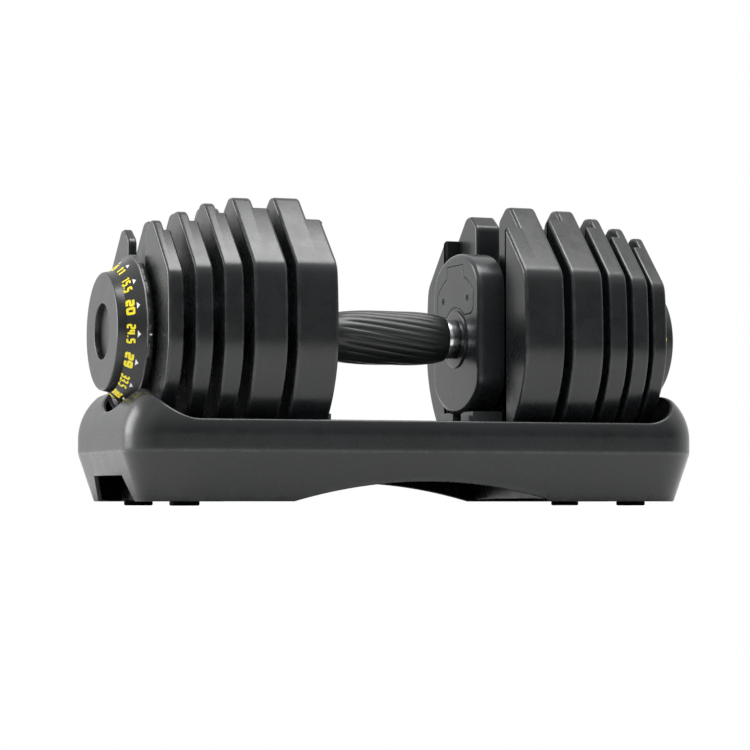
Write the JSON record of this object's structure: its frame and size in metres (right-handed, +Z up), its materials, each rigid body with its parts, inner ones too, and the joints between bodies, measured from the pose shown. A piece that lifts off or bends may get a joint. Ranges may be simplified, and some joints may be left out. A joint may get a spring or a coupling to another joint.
{
  "type": "adjustable dumbbell",
  "caption": "Selector dumbbell with a spiral-ribbed grip, stacked notched weight plates and numbered end dials, resting in a moulded tray cradle.",
  "frame": {"origin": "centre of the cradle's footprint on the floor", "axes": "+X along the handle, +Z up, -Y toward the side where the dial setting is read"},
  "size_m": [0.4414, 0.1942, 0.2235],
  "materials": {
    "charcoal_plastic": "satin moulded",
    "black_plastic": "fine texture",
    "grey_plastic": "satin",
    "foot_rubber": "matte",
    "zinc_steel": "zinc plated",
    "coated_iron": "plastic coated, satin",
    "handle_steel": "bright satin",
    "grip_rubber": "moulded, spiral ribs",
    "black_nylon": "satin",
    "hub_plastic": "satin",
    "black_screw_steel": "black oxide",
    "disc_steel": "phosphated"
  },
  "bodies": {
    "base": {"base_shell": "charcoal_plastic", "plate_cradle_left": "black_plastic", "plate_cradle_right": "black_plastic", "hub_rest_left": "grey_plastic", "hub_rest_right": "grey_plastic", "rubber_feet": "foot_rubber", "feet_screws": "zinc_steel", "cradle_screws": "zinc_steel", "plate_2_left": "coated_iron", "plate_2_right": "coated_iron", "plate_4_left": "coated_iron", "plate_4_right": "coated_iron", "plate_5_left": "coated_iron", "plate_5_right": "coated_iron"},
    "handle": {"handle_tube": "handle_steel", "tie_rod": "zinc_steel", "rod_nuts": "zinc_steel", "grip_sleeve": "grip_rubber", "collar_left": "handle_steel", "collar_right": "handle_steel", "hub_bushing_left": "black_nylon", "hub_bushing_right": "black_nylon", "hub_housing_left": "hub_plastic", "hub_housing_right": "hub_plastic", "hub_cover_left": "hub_plastic", "hub_cover_right": "hub_plastic", "cover_screws": "black_screw_steel", "hub_back_left": "black_plastic", "hub_back_right": "black_plastic", "lock_slider_left": "zinc_steel", "lock_slider_right": "zinc_steel", "lock_springs": "zinc_steel"},
    "dial_left": {"dial_knob_left": "black_plastic", "dial_cap_left": "hub_plastic", "dial_sleeve_left": "zinc_steel", "lock_gear_left": "zinc_steel", "disc_1_left": "disc_steel", "disc_2_left": "disc_steel", "disc_3_left": "disc_steel", "disc_4_left": "disc_steel", "disc_5_left": "disc_steel"},
    "dial_right": {"dial_knob_right": "black_plastic", "dial_cap_right": "hub_plastic", "dial_sleeve_right": "zinc_steel", "lock_gear_right": "zinc_steel", "disc_1_right": "disc_steel", "disc_2_right": "disc_steel", "disc_3_right": "disc_steel", "disc_4_right": "disc_steel", "disc_5_right": "disc_steel"},
    "plate_1_left_body": {"plate_1_left": "coated_iron"},
    "plate_3_left_body": {"plate_3_left": "coated_iron"},
    "plate_1_right_body": {"plate_1_right": "coated_iron"},
    "plate_3_right_body": {"plate_3_right": "coated_iron"}
  },
  "joints": [
    {"name": "handle_lift", "type": "slide", "parent": "base", "child": "handle", "axis": [0, 0, 1], "range_m": [0, 0.25]},
    {"name": "dial_left_spin", "type": "hinge", "parent": "handle", "child": "dial_left", "pos_m": [-0.2, 0, 0.1257], "axis": [1, 0, 0], "continuous": true},
    {"name": "dial_right_spin", "type": "hinge", "parent": "handle", "child": "dial_right", "pos_m": [0.2, 0, 0.1257], "axis": [1, 0, 0], "continuous": true},
    {"name": "plate_1_left_lift", "type": "slide", "parent": "base", "child": "plate_1_left_body", "axis": [0, 0, 1], "range_m": [0, 0.25]},
    {"name": "plate_3_left_lift", "type": "slide", "parent": "base", "child": "plate_3_left_body", "axis": [0, 0, 1], "range_m": [0, 0.25]},
    {"name": "plate_1_right_lift", "type": "slide", "parent": "base", "child": "plate_1_right_body", "axis": [0, 0, 1], "range_m": [0, 0.25]},
    {"name": "plate_3_right_lift", "type": "slide", "parent": "base", "child": "plate_3_right_body", "axis": [0, 0, 1], "range_m": [0, 0.25]}
  ],
  "couplings": [
    {"joint": "plate_1_left_lift", "follows": "handle_lift", "ratio": 1},
    {"joint": "plate_3_left_lift", "follows": "handle_lift", "ratio": 1},
    {"joint": "plate_1_right_lift", "follows": "handle_lift", "ratio": 1},
    {"joint": "plate_3_right_lift", "follows": "handle_lift", "ratio": 1}
  ]
}
